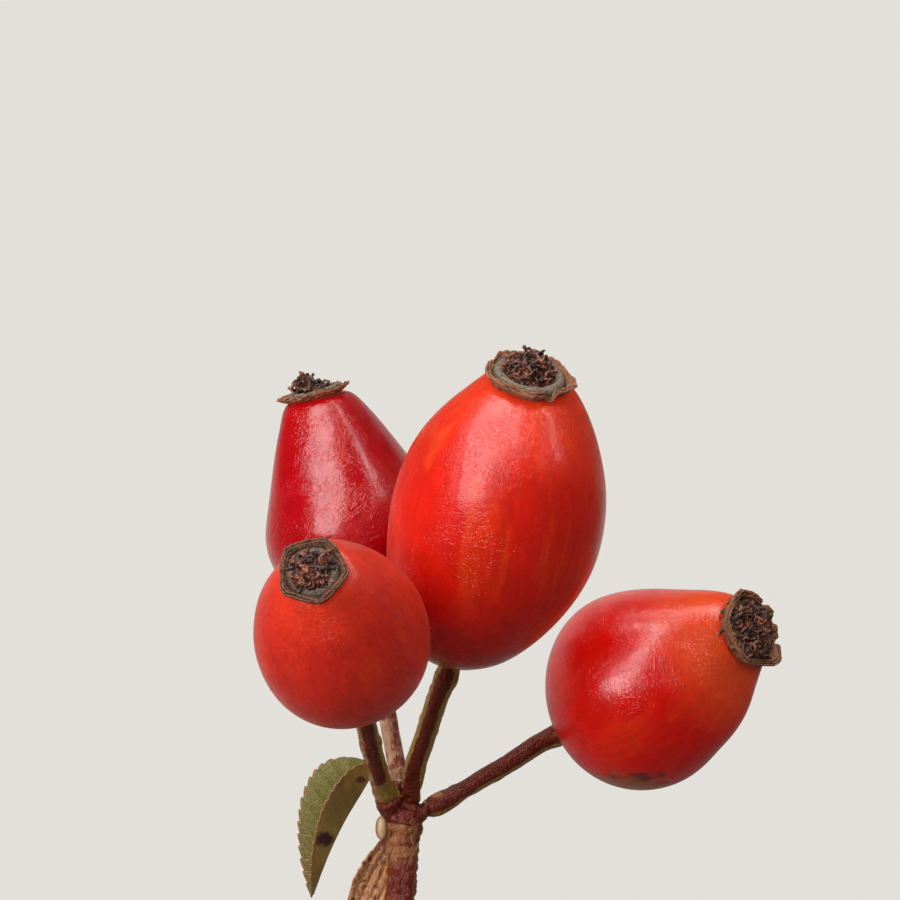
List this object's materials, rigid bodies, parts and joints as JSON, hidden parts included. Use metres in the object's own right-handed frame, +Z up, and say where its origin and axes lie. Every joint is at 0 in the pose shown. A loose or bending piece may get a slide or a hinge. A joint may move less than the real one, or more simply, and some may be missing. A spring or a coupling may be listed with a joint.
{
  "type": "rose hip sprig",
  "caption": "Sprig of ripe rose hips on short stalks that fork from a cut woody stem, with a folded leaflet, a papery bract and a bud, lying on its side",
  "frame": {"origin": "Middle of the bounding box in X and Y, on the surface that the sprig lies on", "axes": "+Z up; +Y runs from the cut stem towards the tips of the hips, along the longest extent; +X is to the right of +Y seen from above"},
  "size_m": [0.0362, 0.0404, 0.0277],
  "materials": {
    "skin_centre": "glossy orange-red fruit skin with fine leathery wrinkles",
    "skin_back": "glossy crimson fruit skin",
    "skin_front": "softly glossy brick-red fruit skin with small dark specks",
    "skin_right": "glossy red fruit skin, orange towards the crown",
    "dry_crown": "dry, dark brown, fibrous",
    "style_tuft": "dry, nearly black, curled threads",
    "stalk_bark_centre": "smooth maroon bark with olive edges",
    "stalk_bark_back": "pale bark flushed red",
    "stalk_bark_front": "maroon bark with olive edges",
    "stalk_bark_right": "wrinkled maroon bark",
    "stem_bark": "wrinkled red-brown bark with a waxy sheen",
    "leaf_blade": "satin leaf, olive turning brown with dark purple spots",
    "dry_bract": "papery, brown, with pale veins",
    "bud_scale": "matte pale bud scale"
  },
  "bodies": {
    "root": {"stem": "stem_bark", "hip_centre": "skin_centre", "calyx_centre": "dry_crown", "styles_centre": "style_tuft", "stalk_centre": "stalk_bark_centre", "hip_back": "skin_back", "calyx_back": "dry_crown", "styles_back": "style_tuft", "stalk_back": "stalk_bark_back", "hip_front": "skin_front", "calyx_front": "dry_crown", "styles_front": "style_tuft", "stalk_front": "stalk_bark_front", "hip_right": "skin_right", "calyx_right": "dry_crown", "styles_right": "style_tuft", "stalk_right": "stalk_bark_right", "leaf": "leaf_blade", "dry_bract": "dry_bract", "bud": "bud_scale"}
  },
  "joints": []
}
